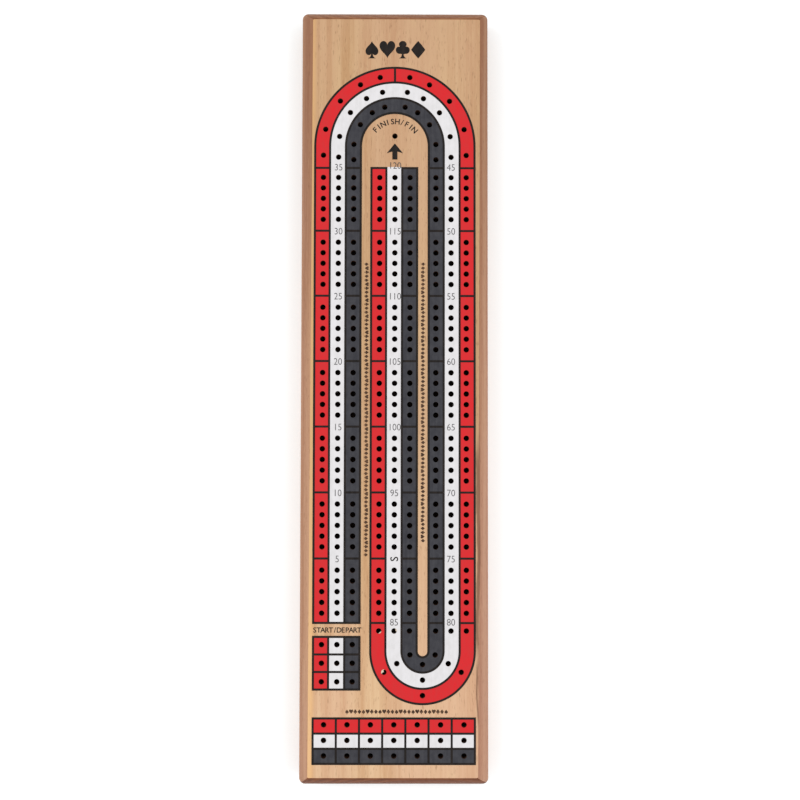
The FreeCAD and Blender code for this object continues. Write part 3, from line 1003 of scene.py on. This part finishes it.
def build_cover():
    """The sliding steel plate, with pressed ribs near its end for the thumb."""
    low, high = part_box("storage_cover")
    plate_low = high.z - COVER_THICKNESS
    width, length = high.x - low.x, high.y - low.y
    round_by = COVER_EDGE_ROUND
    steps = (
        (round_by, plate_low),
        (0.0, plate_low + round_by),
        (0.0, high.z - round_by),
        (round_by, high.z),
    )
    bm = bmesh.new()
    loops = []
    for inset, z in steps:
        loops.append((rounded_rectangle(width - 2 * inset, length - 2 * inset, TROUGH_RADIUS - inset), z))
    for (lower, low_z), (upper, high_z) in zip(loops, loops[1:]):
        add_wall(bm, ring(lower, low_z), ring(upper, high_z))
    add_flat(bm, [loops[-1][0]], high.z)
    ribs = []
    for index in range(RIB_COUNT):
        y = low.y + RIB_FROM_END + index * RIB_PITCH
        ribs.append(stadium(RIB_LENGTH, RIB_RADIUS, y))
        for step in range(RIB_STEPS):
            first = math.radians(90 * step / RIB_STEPS)
            last = math.radians(90 * (step + 1) / RIB_STEPS)
            add_rib_band(bm, y, plate_low, first, last)
    add_flat(bm, [loops[0][0]] + ribs, plate_low)
    make_piece("steel_cover", bm, [STEEL], "storage_cover", ["storage_cover"], smooth=40)


def add_rib_band(bm, y, plate_low, first, last):
    """One band of a rib's round outside, between two angles from its foot to its crest."""
    rings = []
    for angle in (first, last):
        radius = max(RIB_RADIUS * math.cos(angle), 0.002 * MM)
        rings.append(ring(stadium(RIB_LENGTH, radius, y), plate_low - RIB_RADIUS * math.sin(angle)))
    add_wall(bm, *rings)
    if last > math.radians(89):
        crest = stadium(RIB_LENGTH, 0.002 * MM, y)
        add_flat(bm, [crest], plate_low - RIB_RADIUS)


def peg_profile():
    """Radius and distance from the tip of a peg's rings, between its two poles."""
    profile = []
    for step in range(1, PEG_ROUND_STEPS + 1):
        angle = math.radians(90 * step / PEG_ROUND_STEPS)
        profile.append((PEG_TIP_RADIUS * math.sin(angle), PEG_TIP_RADIUS * (1 - math.cos(angle))))
    soft = 0.12 * MM
    profile += [
        (PEG_SHANK_RADIUS, PEG_SHANK_LENGTH),
        (PEG_COLLAR_RADIUS - 0.01 * MM, PEG_COLLAR_Y - soft),
        (PEG_COLLAR_RADIUS - 0.03 * MM, PEG_COLLAR_Y + soft),
        (PEG_NECK_RADIUS + 0.03 * MM, PEG_NECK_Y - soft),
        (PEG_NECK_RADIUS + 0.03 * MM, PEG_NECK_Y + soft),
        (PEG_HEAD_RADIUS - 0.03 * MM, PEG_NECK_Y + PEG_HEAD_FLARE - soft),
        (PEG_HEAD_RADIUS, PEG_NECK_Y + PEG_HEAD_FLARE + soft),
    ]
    for step in range(PEG_ROUND_STEPS):
        angle = math.radians(90 * step / PEG_ROUND_STEPS)
        y = PEG_LENGTH - PEG_HEAD_RADIUS * (1 - math.sin(angle))
        profile.append((PEG_HEAD_RADIUS * math.cos(angle), y))
    return profile


def build_peg(node, colour, turned):
    """A peg lying along Y where its CAD node lies, tip first or head first."""
    low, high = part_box(node)
    middle = (low + high) / 2
    way = -1 if turned else 1
    tip_y = high.y if turned else low.y
    rings = []
    for radius, distance in peg_profile():
        loop = circle((middle.x, middle.z), radius, PEG_SIDES)
        rings.append([Vector((x, tip_y + way * distance, z)) for x, z in loop])
    bm = bmesh.new()
    for lower, upper in zip(rings, rings[1:]):
        add_wall(bm, lower, upper)
    add_wall(bm, rings[0], [Vector((middle.x, tip_y, middle.z))])
    add_wall(bm, rings[-1], [Vector((middle.x, tip_y + way * PEG_LENGTH, middle.z))])
    name = colour + "_moulded_peg_" + node[-1]
    make_piece(name, bm, [PEG_PLASTIC[colour]], node, [node], smooth=28)


def build_pegs():
    place = 0
    for colour in COLOURS:
        for number in range(1, PEGS_PER_COLOUR + 1):
            build_peg(colour + "_peg_" + str(number), colour, place % 2 == 1)
            place += 1


# ======== stage ========

def make_camera():
    """Nearly square above the board, a little below its middle and 0.5 m over its top face."""
    data = bpy.data.cameras.new("camera")
    data.sensor_width = CAMERA_SENSOR
    data.lens = CAMERA_LENS
    camera = bpy.data.objects.new("camera", data)
    bpy.context.scene.collection.objects.link(camera)
    camera.location = CAMERA_PLACE
    camera.rotation_euler = [math.radians(degrees) for degrees in CAMERA_TURN]
    bpy.context.scene.camera = camera


def add_softbox(name, place, target, size, power):
    data = bpy.data.lights.new(name, "AREA")
    data.shape = "RECTANGLE"
    data.size, data.size_y = size
    data.energy = power
    lamp = bpy.data.objects.new(name, data)
    bpy.context.scene.collection.objects.link(lamp)
    lamp.location = place
    lamp.rotation_euler = (Vector(target) - Vector(place)).to_track_quat("-Z", "Y").to_euler()


def make_stage():
    bm = bmesh.new()
    outline = rectangle(-FLOOR_REACH, -FLOOR_REACH, FLOOR_REACH, FLOOR_REACH)
    corners = [bm.verts.new((x, y, FLOOR_Z)) for x, y in outline]
    bm.faces.new(corners)
    mesh = bpy.data.meshes.new("floor")
    bm.to_mesh(mesh)
    bm.free()
    mesh.materials.append(floor_paper())
    floor = bpy.data.objects.new("floor", mesh)
    bpy.context.scene.collection.objects.link(floor)
    world = bpy.data.worlds.new("studio")
    world.use_nodes = True
    background = next(n for n in world.node_tree.nodes if n.type == "BACKGROUND")
    background.inputs["Color"].default_value = (1.0, 1.0, 1.0, 1.0)
    background.inputs["Strength"].default_value = SKY_STRENGTH
    bpy.context.scene.world = world
    add_softbox("left_softbox", (-1.3, 0.3, 1.3), (0, 0, 0), SOFTBOX_SIZE, SOFTBOX_POWER)
    add_softbox("right_softbox", (1.3, -0.2, 1.3), (0, 0, 0), SOFTBOX_SIZE, SOFTBOX_POWER)
    bpy.context.scene.view_settings.view_transform = "Standard"


build_board()
build_lane_inks()
build_black_lines()
build_ornaments()
build_arrow()
build_numbers()
build_words()
build_burrs()
build_cover()
build_pegs()
make_camera()
make_stage()
